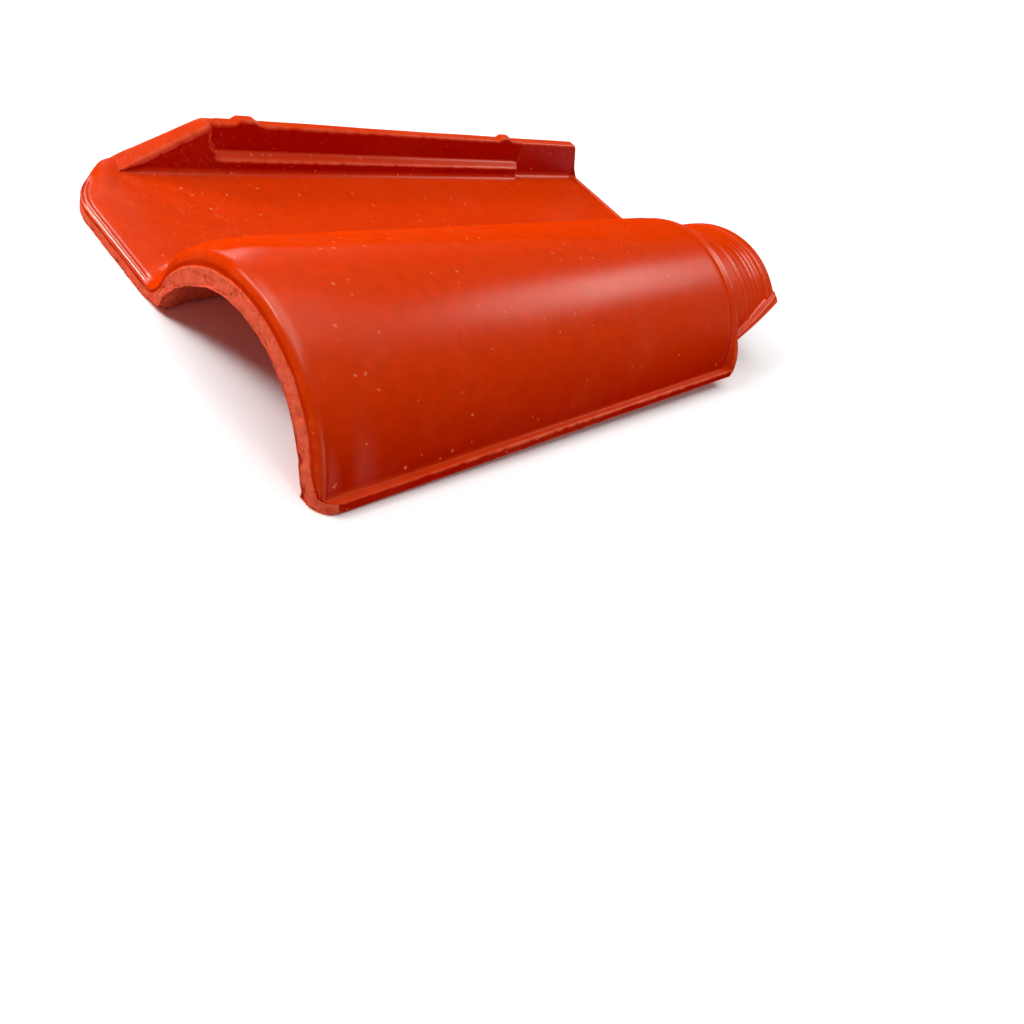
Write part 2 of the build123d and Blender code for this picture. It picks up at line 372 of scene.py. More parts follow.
# Glaze is rubbed thin on the foot's edge and off the head rim, and gathered thick on the beads and
# in a streak along the bend of the roll's foot.
RUBBED_ROWS = np.array([0.33, 0.24, 0.1])
HEAD_RIM_RAW = 0.72
STREAK_SHINE = 0.35
THIN_EDGE_RAW = 0.33
NECK_RAW = 0.1
NECK_RIM_RAW = 0.34

clay = Clay()
outer, part = sheet_face(SHEET_ROWS, False)
inner, part = sheet_face(SHEET_ROWS, True)
x_outer, y_outer = outer[..., 0], outer[..., 1]
edge_wear = np.zeros(outer.shape[:2])
edge_wear[:3] = RUBBED_ROWS[:, None] * (1 - 0.7 * drip_share(x_outer[0], 0))
head_rim = soft_step(PAN_LENGTH - 6.2, PAN_LENGTH - 4.8, y_outer)
head_rim = head_rim * soft_step(12, 18, x_outer) * (part < VALLEY)
edge_wear += HEAD_RIM_RAW * head_rim
depth = front_distance(x_outer, y_outer)
beads = bead_share(x_outer, y_outer) * (1 - soft_step(3.2, 4.4, depth)) * soft_step(0.2, 0.5, depth)
streak = soft_step(150, 172, x_outer) * (1 - soft_step(196, 212, x_outer))
streak = streak * soft_step(1.5, 3, depth) * (1 - soft_step(5, 8, depth))
clay.grid(outer, edge_wear, shine=beads + STREAK_SHINE * streak)
clay.grid(inner, 1.0)
clay.grid(between(outer[:, 0], inner[:, 0], np.linspace(0, 1, 5)), 0.3)

# Cut foot face: a narrow glazed strip, set back, then the raw face that the wire left
FACE_AT = np.array([0.0, 0.04, 0.1, 0.17, 0.215, 0.24, 0.27, 0.33, 0.42,
                    0.5, 0.58, 0.66, 0.74, 0.82, 0.89, 0.94, 0.97, 1.0])
FACE_PROUD = 0.92

front = outer[0]
foot_face = between(front, inner[0], FACE_AT)
out = np.zeros_like(front)
out[:, 1] = -1.0
left = front[:, 0] < CORNER_RADIUS
corner_centre = np.array([CORNER_RADIUS, CORNER_RADIUS])
out[left, :2] = (front[left, :2] - corner_centre) / CORNER_RADIUS
arch = 1 - drip_share(front[:, 0], 0)
proud = soft_step(0.215, 0.265, FACE_AT)[:, None] - FACE_AT[:, None]
foot_face = foot_face + (FACE_PROUD * proud * arch * STEP_BACK)[..., None] * out
cut = soft_step(0.2, 0.27, FACE_AT)[:, None]
crumbling = soft_step(0.8, 0.93, FACE_AT)[:, None]
clay.grid(foot_face, THIN_EDGE_RAW + (1 - THIN_EDGE_RAW) * cut + 0.4 * crumbling)

# Head edge of the pan, then the neck beyond it with its cut end
start = int(np.argmax(part >= ROLL))
clay.grid(between(outer[-1, :start + 1], inner[-1, :start + 1], np.linspace(0, 1, 8)), 0.5)
neck_outer = sheet_face(OVERHANG_ROWS, False)[0][:, start:]
neck_inner = sheet_face(OVERHANG_ROWS, True)[0][:, start:]
clay.grid(neck_outer, NECK_RAW + NECK_RIM_RAW * soft_step(NECK_END - 4, NECK_END - 2, neck_outer[..., 1]))
clay.grid(neck_inner, 1.0)
clay.grid(between(neck_outer[:, 0], neck_inner[:, 0], np.linspace(0, 1, 8)), 0.5)
clay.grid(between(neck_outer[-1], neck_inner[-1], np.linspace(0, 1, 8)), 0.7)

# Side lip: a wall along the pan's left edge that the next tile's roll covers. Its foot end is
# mitred, its inner side steps back over a ledge, and two small saddles stand on its top.
LIP_HEIGHT = 36.0
MITRE_START = 24.0
MITRE_END = 73.0
MITRE_BLEND = 1.5
LIP_FOOT_WIDTH = 14.0
LIP_TOP_WIDTH = 11.0
LIP_FILLET = 4.0
LIP_FOOT_ROUND = 3.0
LIP_TOP_ROUND = 2.0
LEDGE_START = 75.0
LEDGE_END = 325.0
LEDGE_HEIGHT = 19.0
LEDGE_SLOPE = 3.0
LEDGE_DEPTH = 3.5
SADDLE_HEIGHT = 2.2
SADDLES = ((89, 93, 101, 106), (300, 304, 310, 315))
HEAD_LEAN = 11.0
LEAN_START = 340.0
ROOT_DEPTH = 0.4
LIP_RAW = 0.05
LIP_SHINE = 0.025
LIP_ROWS = np.concatenate([np.arange(25, 30, 1.0), np.arange(30, 66, 2.0), np.arange(66, 112, 0.9),
                           np.arange(112, 298, 6.2), np.arange(298, 332, 0.9), np.arange(332, 396, 6.0),
                           [396.0, 399.0]])
LIP_END_ROWS = ((0.1, 399.5), (0.3, 399.85), (0.6, PAN_LENGTH))


def lip_top(y):
    """Z of the lip's top: the mitre, the flat and its two saddles."""
    mitre = PAN_THICKNESS + (LIP_HEIGHT - PAN_THICKNESS) * (y - MITRE_START) / (MITRE_END - MITRE_START)
    saddle = sum(soft_step(foot, full, y) * (1 - soft_step(fall, head, y))
                 for foot, full, fall, head in SADDLES)
    gap = LIP_HEIGHT - mitre
    top = LIP_HEIGHT - 0.5 * (gap + np.sqrt(gap**2 + MITRE_BLEND**2))
    top = top + 0.5 * MITRE_BLEND * np.exp(-np.abs(gap) / 8)
    return np.minimum(top, LIP_HEIGHT) + SADDLE_HEIGHT * saddle


def lip_inner(y, z):
    """X of the lip's inner side: plain at the foot, stepped over the ledge, thin at the head."""
    climb = np.clip((z - PAN_THICKNESS) / (LIP_HEIGHT - PAN_THICKNESS), 0, 1)
    plain = LIP_FOOT_WIDTH - (LIP_FOOT_WIDTH - LIP_TOP_WIDTH) * climb
    above = soft_step(LEDGE_HEIGHT - 0.6, LEDGE_HEIGHT + LEDGE_SLOPE, z)
    wall = LIP_TOP_WIDTH - LEDGE_DEPTH + 0.6 * (1 - climb)
    stepped = (LIP_FOOT_WIDTH - 0.6 * climb) * (1 - above) + wall * above
    thin = LIP_FOOT_WIDTH - LEDGE_DEPTH - 2.6 * climb
    low_start = 3.0 * (1 - soft_step(22, 26, z))
    stepping = soft_step(LEDGE_START - 1.4, LEDGE_START + 1.6, y - low_start)
    thinning = soft_step(LEDGE_END - 2.2, LEDGE_END + 1.2, y)
    return plain * (1 - stepping) + stepped * stepping * (1 - thinning) + thin * thinning


def lip_ring(y):
    """The closed section of the lip at a place along it, from its outer foot over the top and down."""
    top_z = PAN_THICKNESS + max(float(lip_top(y)) - PAN_THICKNESS, 0.8)
    rise = top_z - PAN_THICKNESS
    edge = CORNER_RADIUS - sqrt(CORNER_RADIUS**2 - max(CORNER_RADIUS - y, 0) ** 2)
    bend = min(LIP_TOP_ROUND if y > 80 else LIP_FOOT_ROUND, 0.42 * rise)
    fillet = min(LIP_FILLET, 0.5 * rise)
    turns = np.linspace(0, pi / 2, 7)
    loop = [(edge, ROOT_DEPTH), (edge, 3.5), (edge, 7.0)]
    loop += [(edge, 7.0 + (top_z - bend - 7.0) * s) for s in (0.2, 0.4, 0.6, 0.8)]
    loop += [(edge + bend * (1 - cos(t)), top_z - bend * (1 - sin(t))) for t in turns]
    inside = float(lip_inner(y, top_z - bend))
    loop += [(edge + bend + (inside - edge - 2 * bend) * s, top_z) for s in (0.15, 0.35, 0.5, 0.65, 0.85)]
    loop += [(inside - bend * (1 - sin(t)), top_z - bend * (1 - cos(t))) for t in turns]
    low = PAN_THICKNESS + fillet
    for s in np.linspace(0, 1, 30)[1:]:
        z = top_z - bend + (low - top_z + bend) * s
        full_z = z
        if y < MITRE_END:
            full_z = PAN_THICKNESS + (z - PAN_THICKNESS) * (LIP_HEIGHT - PAN_THICKNESS) / max(rise, 8.0)
        loop.append((float(lip_inner(y, min(full_z, LIP_HEIGHT))), z))
    foot = loop[-1][0]
    loop += [(foot + fillet * (1 - cos(t)), low - fillet * sin(t)) for t in np.linspace(0, pi / 2, 9)[1:]]
    root = foot + fillet + 1.5
    loop += [(root, PAN_THICKNESS - 0.25), (root, 8.0), (foot, ROOT_DEPTH), (0.5 * foot, ROOT_DEPTH)]
    return np.array(loop)


rings = [lip_ring(y) for y in LIP_ROWS]
last = rings[-1]
centre = last.mean(axis=0)
wall_part = soft_step(PAN_THICKNESS + 2, PAN_THICKNESS + 6, last[:, 1])[:, None]
for shrink, _ in LIP_END_ROWS:
    inward = (rings[-1] - centre) * (1 - 2 * shrink / np.ptp(rings[-1], axis=0))
    rings.append(rings[-1] * (1 - wall_part) + (centre + inward) * wall_part)
rows = np.append(LIP_ROWS, [y for _, y in LIP_END_ROWS])
x_ring, z_ring = np.moveaxis(np.array(rings), 2, 0)
foot_z = PAN_THICKNESS + LIP_FILLET
lean = HEAD_LEAN * np.clip(z_ring - foot_z, 0, None) / (LIP_HEIGHT - foot_z)
round_top = 0.4 * np.clip((z_ring - LIP_HEIGHT + 2.5) / 2.5, 0, 1) ** 2
y_ring = rows[:, None] - (lean + round_top) * soft_step(LEAN_START, PAN_LENGTH, rows)[:, None]
lip = np.stack([x_ring, y_ring, z_ring], axis=-1)
clay.grid(lip, LIP_RAW, closed=True, shine=LIP_SHINE)
clay.cap(lip[-1], 0.3)
clay.cap(lip[0], 0.0)

# Batten nib under the head of the pan, the stop that hangs the tile on its batten, pressed on
# with the sheet: square towards the foot, sloping at its back.
NIB_DROP = 8.0
NIB_PLACE = 372.0
NIB_LENGTH = 16.0
NIB_BACK = 6.0
NIB_WIDTH = 44.0
NIB_CENTRE = 52.0
NIB_ROOT = 4.0
NIB_ROUND = 1.5
NIB_ENDS = ((0.0, 2.2), (0.12, 1.0), (0.4, 0.35), (1.0, 0.0), (2.4, 0.0))

corners = np.array([(NIB_PLACE, NIB_ROOT), (NIB_PLACE, -NIB_DROP),
                    (NIB_PLACE + NIB_LENGTH - NIB_BACK, -NIB_DROP), (NIB_PLACE + NIB_LENGTH, NIB_ROOT)])
loop = []
for here, before, after in zip(corners, np.roll(corners, 1, axis=0), np.roll(corners, -1, axis=0)):
    a = here + NIB_ROUND * (before - here) / np.linalg.norm(before - here)
    b = here + NIB_ROUND * (after - here) / np.linalg.norm(after - here)
    loop += [(1 - t) ** 2 * a + 2 * t * (1 - t) * here + t**2 * b for t in np.linspace(0, 1, 5)]
loop = np.array(loop)
middle = loop.mean(axis=0)
nib_start = NIB_CENTRE - NIB_WIDTH / 2
nib_places = [(nib_start + along, inset) for along, inset in NIB_ENDS]
nib_places += [(2 * NIB_CENTRE - x, inset) for x, inset in reversed(nib_places)]
nib = []
for x, inset in nib_places:
    ring = middle + (loop - middle) * (1 - 2 * inset / np.ptp(loop, axis=0))
    nib.append(np.column_stack([np.full(len(ring), x), ring]))
nib = np.array(nib)
clay.grid(nib, 1.0, closed=True)
clay.cap(nib[0], 1.0)
clay.cap(nib[-1], 1.0)

# The clay as it came out of the kiln: sewn into one skin, a little uneven everywhere and crumbly
# along the edge where the wire left the foot face, then laid on its foot and nib.
REST_PITCH = atan2(NIB_DROP, NIB_PLACE)
REST_SHIFT = Vector((-118.5, -206.2803, 0.03))
SEW_DISTANCE = 0.002
SWELL = 0.3
SWELL_BIAS = 0.65
SWELL_LENGTH = 55.0
GRAIN = 0.22
GRAIN_LENGTH = 3.2
CRUMB = 0.9
CRUMB_LENGTH = 4.5
CHIP = 1.6
CHIP_LENGTH = 6.0
CRUMB_REACH = 1.2
BOX_GAP = 0.03
BOX_LEAN = 0.022

mesh = bpy.data.meshes.new("roof_tile_clay")
mesh.from_pydata(np.vstack(clay.points).tolist(), [], clay.faces)
for name, values in (("raw_clay", clay.raw), ("thick_glaze", clay.shine)):
    attribute = mesh.attributes.new(name, "FLOAT", "POINT")
    attribute.data.foreach_set("value", np.concatenate(values).astype(np.float32))
skin = bmesh.new()
skin.from_mesh(mesh)
bmesh.ops.remove_doubles(skin, verts=skin.verts, dist=SEW_DISTANCE)
bmesh.ops.dissolve_degenerate(skin, edges=skin.edges, dist=SEW_DISTANCE / 2)
bmesh.ops.recalc_face_normals(skin, faces=skin.faces)
skin.normal_update()
amount = skin.verts.layers.float["raw_clay"]
moves = []
for point in skin.verts:
    place, raw = point.co, point[amount]
    off_floor = min(1.0, abs(place.z) / 3 + 0.1)
    wave = SWELL * (noise.noise(place / SWELL_LENGTH) - SWELL_BIAS) * off_floor
    grain = GRAIN * raw * noise.noise(place / GRAIN_LENGTH + Vector((7, 1, 3)))
    low_edge = raw * max(0.0, 1 - place.y / CRUMB_REACH) * (1 if place.z > 0.2 else 0.4)
    lump = noise.noise(place / CRUMB_LENGTH) + 0.6 * noise.noise(place / CRUMB_LENGTH * 2.3)
    chip = CHIP * low_edge * max(0.0, noise.noise(place / CHIP_LENGTH + Vector((3, 9, 1))) - 0.05)
    move = point.normal * (wave - abs(grain) - chip)
    move.y += max(0.0, CRUMB * low_edge * lump)
    moves.append(move)
for point, move in zip(skin.verts, moves):
    point.co += move
    # Once the tile is pitched its top would pass the solid's front, so the limit leans back
    point.co.y = max(point.co.y, BOX_GAP + BOX_LEAN * max(0.0, point.co.z - 50.0))
skin.to_mesh(mesh)
skin.free()
laid_down = Matrix.Translation(REST_SHIFT) @ Matrix.Rotation(REST_PITCH, 4, "X")
mesh.transform(Matrix.Scale(0.001, 4) @ laid_down)
mesh.shade_smooth()
tile = bpy.data.objects.new("roof_tile_clay", mesh)
bpy.context.scene.collection.objects.link(tile)
evened = tile.modifiers.new("even_normals", "WEIGHTED_NORMAL")
evened.mode = "FACE_AREA"
evened.weight = 60

# Engobe glaze over fired red clay, orange on the flat, with a satin gloss, faint clouds and pale
# specks. Its steep sides are painted a deep red as shade, less so on faces turned to the foot.
# Cut and hidden faces are bare clay, salmon, pitted and dry.
GLAZE_FLAT = "#E33A02"
# the deep red painted on the steep sides as shade
GLAZE_PAINTED_SHADE = "#B81200"
GLAZE_PALE = "#E8623C"
SPECK_PALE = "#F28058"
RAW_SALMON = "#EE5638"
RAW_DARK = "#B83A26"
RAW_PALE = "#F47C5C"
# painted shade with red bounce light: the deeper red of bare clay turned down
RAW_UNDER_SHADE_AND_BOUNCE = "#E04426"
# painted shade in the pits
PIT_PAINTED_SHADE = "#7A1E10"
# painted shade along the low edge where the cut face turns under
CRUMB_PAINTED_SHADE = "#6E1A0C"
GLOSS_TINT = "#FFE7D4"
GLAZE_IOR = 1.75
WET_ROUGHNESS = 0.2
RAW_ROUGHNESS = 0.8
GLOSS_LEVEL = 0.145
MM = 0.001
RUBBED_CORNER = (-0.083, -0.168, 0.012)
SPREAD = 1.8 * MM

# A Mix node's sockets go by number: its share, its two numbers and its two colours
SHARE, FIRST, SECOND, FIRST_COLOUR, SECOND_COLOUR = 0, 2, 3, 6, 7
NUMBER_RESULT, COLOUR_RESULT = 0, 2


def linear(code):
    """An sRGB hex colour as the linear red, green, blue and alpha that a shader takes."""
    parts = [int(code[i:i + 2], 16) / 255 for i in (1, 3, 5)]
    return tuple(p / 12.92 if p <= 0.04045 else ((p + 0.055) / 1.055) ** 2.4 for p in parts) + (1.0,)


def add_node(tree, kind, inputs, **settings):
    """Adds a node with its properties and ramp stops, and links or sets its inputs."""
    made = tree.nodes.new("ShaderNode" + kind)
    for name, value in settings.items():
        if name == "stops":
            ramp = made.color_ramp.elements
            while len(ramp) < len(value):
                ramp.new(0.5)
            for stop, (position, colour) in zip(ramp, value):
                stop.position, stop.color = position, colour
        else:
            setattr(made, name, value)
    for name, value in inputs.items():
        if isinstance(value, bpy.types.NodeSocket):
            tree.links.new(value, made.inputs[name])
        else:
            made.inputs[name].default_value = value
    return made.outputs


finish = bpy.data.materials.new("poured_red_glaze_on_fired_clay")
finish.use_nodes = True
tree = finish.node_tree
shader = tree.nodes["Principled BSDF"]
shader.inputs["Specular Tint"].default_value = linear(GLOSS_TINT)
shader.inputs["IOR"].default_value = GLAZE_IOR
spot = add_node(tree, "TexCoord", {})["Object"]
form = add_node(tree, "NewGeometry", {})
ways = add_node(tree, "SeparateXYZ", {0: form["Normal"]})
raw_amount = add_node(tree, "Attribute", {}, attribute_name="raw_clay")["Fac"]
thick = add_node(tree, "Attribute", {}, attribute_name="thick_glaze")["Fac"]

# Colour of the glaze: painted shade by how steep the face is, less so on the front, then clouds about 45 mm
# wide
front_up = add_node(tree, "Math", {0: ways["Y"], 1: -0.5, 2: ways["Z"]}, operation="MULTIPLY_ADD")["Value"]
flatness = add_node(tree, "MapRange", {"Value": front_up, "From Min": 0.05, "From Max": 0.95},
                    interpolation_type="SMOOTHSTEP")["Result"]
glaze_with_painted_shade = add_node(tree, "Mix", {SHARE: flatness, FIRST_COLOUR: linear(GLAZE_PAINTED_SHADE),
                                SECOND_COLOUR: linear(GLAZE_FLAT)}, data_type="RGBA")[COLOUR_RESULT]
clouds = add_node(tree, "TexNoise", {"Vector": spot, "Scale": 1 / (45 * MM), "Detail": 3.0})["Fac"]
haze = add_node(tree, "MapRange", {"Value": clouds, "From Min": 0.5, "From Max": 0.75,
                                   "To Max": 0.1})["Result"]
clouded = add_node(tree, "Mix", {SHARE: haze, FIRST_COLOUR: glaze_with_painted_shade, SECOND_COLOUR: linear(GLAZE_PALE)},
                   data_type="RGBA")[COLOUR_RESULT]
ripple = add_node(tree, "TexNoise", {"Vector": spot, "Scale": 1 / (7 * MM), "Detail": 4.0})["Fac"]
shade = add_node(tree, "MapRange", {"Value": ripple, "From Min": 0.3, "From Max": 0.7,
                                    "To Min": 0.93, "To Max": 1.05})["Result"]
mottled = add_node(tree, "Mix", {SHARE: 1.0, FIRST_COLOUR: clouded, SECOND_COLOUR: shade},
                   data_type="RGBA", blend_type="MULTIPLY")[COLOUR_RESULT]

# Pale scuffs a few millimetres long on the pan's front corner, where tiles rub in the stack
corner_gap = add_node(tree, "VectorMath", {0: spot, 1: RUBBED_CORNER}, operation="DISTANCE")["Value"]
near_corner = add_node(tree, "MapRange", {"Value": corner_gap, "From Min": 20 * MM, "From Max": 85 * MM,
                                          "To Min": 1.0, "To Max": 0.0})["Result"]
scratch = add_node(tree, "TexNoise", {"Vector": spot, "Scale": 1 / (6 * MM), "Detail": 6.0,
                                      "Roughness": 0.6, "Distortion": 2.5})["Fac"]
rubbed = add_node(tree, "MapRange", {"Value": scratch, "From Min": 0.56, "From Max": 0.66,
                                     "To Max": 0.55})["Result"]
scuff = add_node(tree, "Math", {0: rubbed, 1: near_corner}, operation="MULTIPLY")["Value"]
scuffed = add_node(tree, "Mix", {SHARE: scuff, FIRST_COLOUR: mottled, SECOND_COLOUR: linear(GLAZE_PALE)},
                   data_type="RGBA")[COLOUR_RESULT]

# Paler where the mesh bends outwards, broken up over about 7 mm: worn glaze and painted edge highlight
convex = add_node(tree, "MapRange", {"Value": form["Pointiness"], "From Min": 0.506, "From Max": 0.53,
                                     "To Max": 0.75})["Result"]
patchy = add_node(tree, "MapRange", {"Value": ripple, "From Min": 0.36, "From Max": 0.56})["Result"]
# worn glaze thinning and a painted highlight along the outward edges
wear_and_highlight = add_node(tree, "Math", {0: convex, 1: patchy}, operation="MULTIPLY")["Value"]
edges_worn_and_highlit = add_node(tree, "Mix", {SHARE: wear_and_highlight, FIRST_COLOUR: scuffed, SECOND_COLOUR: linear(GLAZE_PALE)},
                 data_type="RGBA")[COLOUR_RESULT]

# Pale specks up to 2 mm wide, where the random point of a 6 mm cell lies close to the surface
bent = add_node(tree, "TexNoise", {"Vector": spot, "Scale": 1 / (1.6 * MM), "Detail": 2.0})["Color"]
wander = add_node(tree, "VectorMath", {0: bent, 1: (SPREAD, SPREAD, SPREAD), 2: spot},
                  operation="MULTIPLY_ADD")["Vector"]
cells = add_node(tree, "TexVoronoi", {"Vector": wander, "Scale": 1 / (6 * MM), "Randomness": 1.0})
chance = add_node(tree, "SeparateColor", {0: cells["Color"]})["Red"]
speck_size = add_node(tree, "MapRange", {"Value": chance, "From Min": 0.35, "From Max": 1.0,
                                         "To Min": 0.02, "To Max": 0.19})["Result"]
speck_reach = add_node(tree, "Math", {0: speck_size, 1: cells["Distance"]}, operation="SUBTRACT")["Value"]
speck = add_node(tree, "MapRange", {"Value": speck_reach, "From Min": 0.0, "From Max": 0.07,
                                    "To Max": 0.66})["Result"]
glazed = add_node(tree, "Mix", {SHARE: speck, FIRST_COLOUR: edges_worn_and_highlit, SECOND_COLOUR: linear(SPECK_PALE)},
                  data_type="RGBA")[COLOUR_RESULT]

# Bare clay: salmon with darker grit, pits up to 2 mm wide painted dark brown as the shade in them,
# and drag lines about 1.5 mm apart along the tile; painted shade darkens crumbs of grit along its low
# edge where it turns under, and the underside is painted a deeper red as shade with red bounce light
grit = add_node(tree, "TexNoise", {"Vector": spot, "Scale": 1 / (1.8 * MM), "Detail": 4.0,
                                   "Roughness": 0.65})["Fac"]
drag_scale = (1 / (1.5 * MM), 1 / (40 * MM), 1 / (1.5 * MM))
stretched = add_node(tree, "VectorMath", {0: spot, 1: drag_scale}, operation="MULTIPLY")["Vector"]
drag = add_node(tree, "TexNoise", {"Vector": stretched, "Scale": 1.0, "Detail": 2.0})["Fac"]
dry_stops = [(0.28, linear(RAW_DARK)), (0.38, linear(RAW_SALMON)), (0.85, linear(RAW_PALE))]
dry = add_node(tree, "ValToRGB", {"Fac": grit}, stops=dry_stops)["Color"]
# Pits, painted dark brown as the shade in them
pits = add_node(tree, "TexVoronoi", {"Vector": wander, "Scale": 1 / (3.5 * MM), "Randomness": 1.0})
pit_chance = add_node(tree, "SeparateColor", {0: pits["Color"]})["Green"]
pit_size = add_node(tree, "MapRange", {"Value": pit_chance, "From Min": 0.6, "From Max": 1.0,
                                       "To Min": 0.0, "To Max": 0.3})["Result"]
pit_reach = add_node(tree, "Math", {0: pit_size, 1: pits["Distance"]}, operation="SUBTRACT")["Value"]
pit = add_node(tree, "MapRange", {"Value": pit_reach, "From Min": 0.0, "From Max": 0.1,
                                  "To Max": 0.8})["Result"]
pitted = add_node(tree, "Mix", {SHARE: pit, FIRST_COLOUR: dry, SECOND_COLOUR: linear(PIT_PAINTED_SHADE)},
                  data_type="RGBA")[COLOUR_RESULT]
# Painted shade: dark crumbs along the low edge where the cut face turns under
low_crumbs = add_node(tree, "MapRange", {"Value": raw_amount, "From Min": 1.05, "From Max": 1.4})["Result"]
crumby = add_node(tree, "MapRange", {"Value": grit, "From Min": 0.5, "From Max": 0.58,
                                     "To Max": 0.85})["Result"]
crumb = add_node(tree, "Math", {0: low_crumbs, 1: crumby}, operation="MULTIPLY")["Value"]
crumb_shaded = add_node(tree, "Mix", {SHARE: crumb, FIRST_COLOUR: pitted, SECOND_COLOUR: linear(CRUMB_PAINTED_SHADE)},
                    data_type="RGBA")[COLOUR_RESULT]
# Painted shade with red bounce light: faces turned down are a deeper red
under = add_node(tree, "MapRange", {"Value": ways["Z"], "From Min": -0.8, "From Max": -0.3,
                                    "To Min": 1.0, "To Max": 0.0})["Result"]
bare_clay = add_node(tree, "Mix", {SHARE: under, FIRST_COLOUR: crumb_shaded, SECOND_COLOUR: linear(RAW_UNDER_SHADE_AND_BOUNCE)},
                     data_type="RGBA")[COLOUR_RESULT]

# Where the glaze stops: an uneven line that follows how raw each place of the mesh is
jagged = add_node(tree, "Math", {0: ripple, 1: 0.5, 2: raw_amount}, operation="MULTIPLY_ADD")["Value"]
bare = add_node(tree, "MapRange", {"Value": jagged, "From Min": 0.64, "From Max": 0.74},
                interpolation_type="SMOOTHSTEP")["Result"]
colour = add_node(tree, "Mix", {SHARE: bare, FIRST_COLOUR: glazed, SECOND_COLOUR: bare_clay},
                  data_type="RGBA")[COLOUR_RESULT]
tree.links.new(colour, shader.inputs["Base Color"])

# Roughness: satin glaze, wetter where it gathered on the beads, and dry clay
satin = add_node(tree, "MapRange", {"Value": clouds, "From Min": 0.3, "From Max": 0.7,
                                    "To Min": 0.285, "To Max": 0.34})["Result"]
wet = add_node(tree, "MapRange", {"Value": thick, "From Min": 0.6, "From Max": 0.8},
               interpolation_type="SMOOTHSTEP")["Result"]
smooth = add_node(tree, "Mix", {SHARE: wet, FIRST: satin, SECOND: WET_ROUGHNESS})[NUMBER_RESULT]
roughness = add_node(tree, "Mix", {SHARE: bare, FIRST: smooth, SECOND: RAW_ROUGHNESS})[NUMBER_RESULT]
tree.links.new(roughness, shader.inputs["Roughness"])

# Strength of the gloss: full where the glaze gathered, less where it drained off along the roll,
# and next to none seen edge-on, on steep sides, on the flange side and on faces turned to the foot
edge_on = add_node(tree, "LayerWeight", {"Blend": 0.5})["Facing"]
level = add_node(tree, "MapRange", {"Value": edge_on, "From Min": 0.42, "From Max": 0.7,
                                    "To Min": GLOSS_LEVEL, "To Max": 0.0},
                 interpolation_type="SMOOTHSTEP")["Result"]
not_steep = add_node(tree, "MapRange", {"Value": ways["Z"], "From Min": 0.1, "From Max": 0.4},
                     interpolation_type="SMOOTHSTEP")["Result"]
not_forward = add_node(tree, "MapRange", {"Value": ways["Y"], "From Min": -0.6, "From Max": -0.25},
                       interpolation_type="SMOOTHSTEP")["Result"]
sideways = add_node(tree, "MapRange", {"Value": ways["X"], "From Min": 0.55, "From Max": 0.85},
                    interpolation_type="SMOOTHSTEP")["Result"]
lengthways = add_node(tree, "Math", {0: ways["Y"]}, operation="ABSOLUTE")["Value"]
straight = add_node(tree, "MapRange", {"Value": lengthways, "From Min": 0.02, "From Max": 0.1,
                                       "To Min": 1.0, "To Max": 0.0})["Result"]
flange_side = add_node(tree, "Math", {0: sideways, 1: straight}, operation="MULTIPLY")["Value"]
not_flange = add_node(tree, "Math", {0: 1.0, 1: flange_side}, operation="SUBTRACT")["Value"]
y_place = add_node(tree, "SeparateXYZ", {0: spot})["Y"]
along = add_node(tree, "MapRange", {"Value": y_place, "From Min": -0.2, "From Max": 0.2})["Result"]
drain_shares = ((0.0, 1.2), (0.2, 0.6), (0.55, 0.6), (0.85, 1.0))
drain_stops = [(place, (share, share, share, 1)) for place, share in drain_shares]
drained = add_node(tree, "ValToRGB", {"Fac": along}, stops=drain_stops)["Color"]
for damping in (not_steep, not_forward, not_flange, drained):
    level = add_node(tree, "Math", {0: level, 1: damping}, operation="MULTIPLY")["Value"]
gathered = add_node(tree, "Mix", {SHARE: thick, FIRST: level, SECOND: 1.0})[NUMBER_RESULT]
gloss = add_node(tree, "Mix", {SHARE: bare, FIRST: gathered, SECOND: 0.0})[NUMBER_RESULT]
tree.links.new(gloss, shader.inputs["Specular IOR Level"])

# Relief: an orange-peel ripple and raised specks in the glaze, grit, drag lines and pits in the clay
peel = add_node(tree, "Math", {0: ripple, 1: 0.10, 2: speck}, operation="MULTIPLY_ADD")["Value"]
peel_low = add_node(tree, "Math", {0: peel, 1: 0.3}, operation="MULTIPLY")["Value"]
gritty = add_node(tree, "Math", {0: grit, 1: drag}, operation="ADD")["Value"]
holed = add_node(tree, "Math", {0: pit, 1: -1.2, 2: gritty}, operation="MULTIPLY_ADD")["Value"]
relief = add_node(tree, "Mix", {SHARE: bare, FIRST: peel_low, SECOND: holed})[NUMBER_RESULT]
bump = add_node(tree, "Bump", {"Height": relief, "Strength": 0.6, "Distance": 0.5 * MM})["Normal"]
tree.links.new(bump, shader.inputs["Normal"])
mesh.materials.append(finish)
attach(tile, "root")
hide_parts("roof_tile")

# Floor: matt white card. It takes the tile's shadow and fades to pure white away from it for the
# camera and in reflections, while the light that it throws back on the tile comes off a dimmer card.
FLOOR_REACH = 40.0
FADE_START = 0.3
FADE_END = 0.6
SEEN_WHITE = (1.35, 1.35, 1.35, 1)
DIM_WHITE = (0.78, 0.78, 0.78, 1)

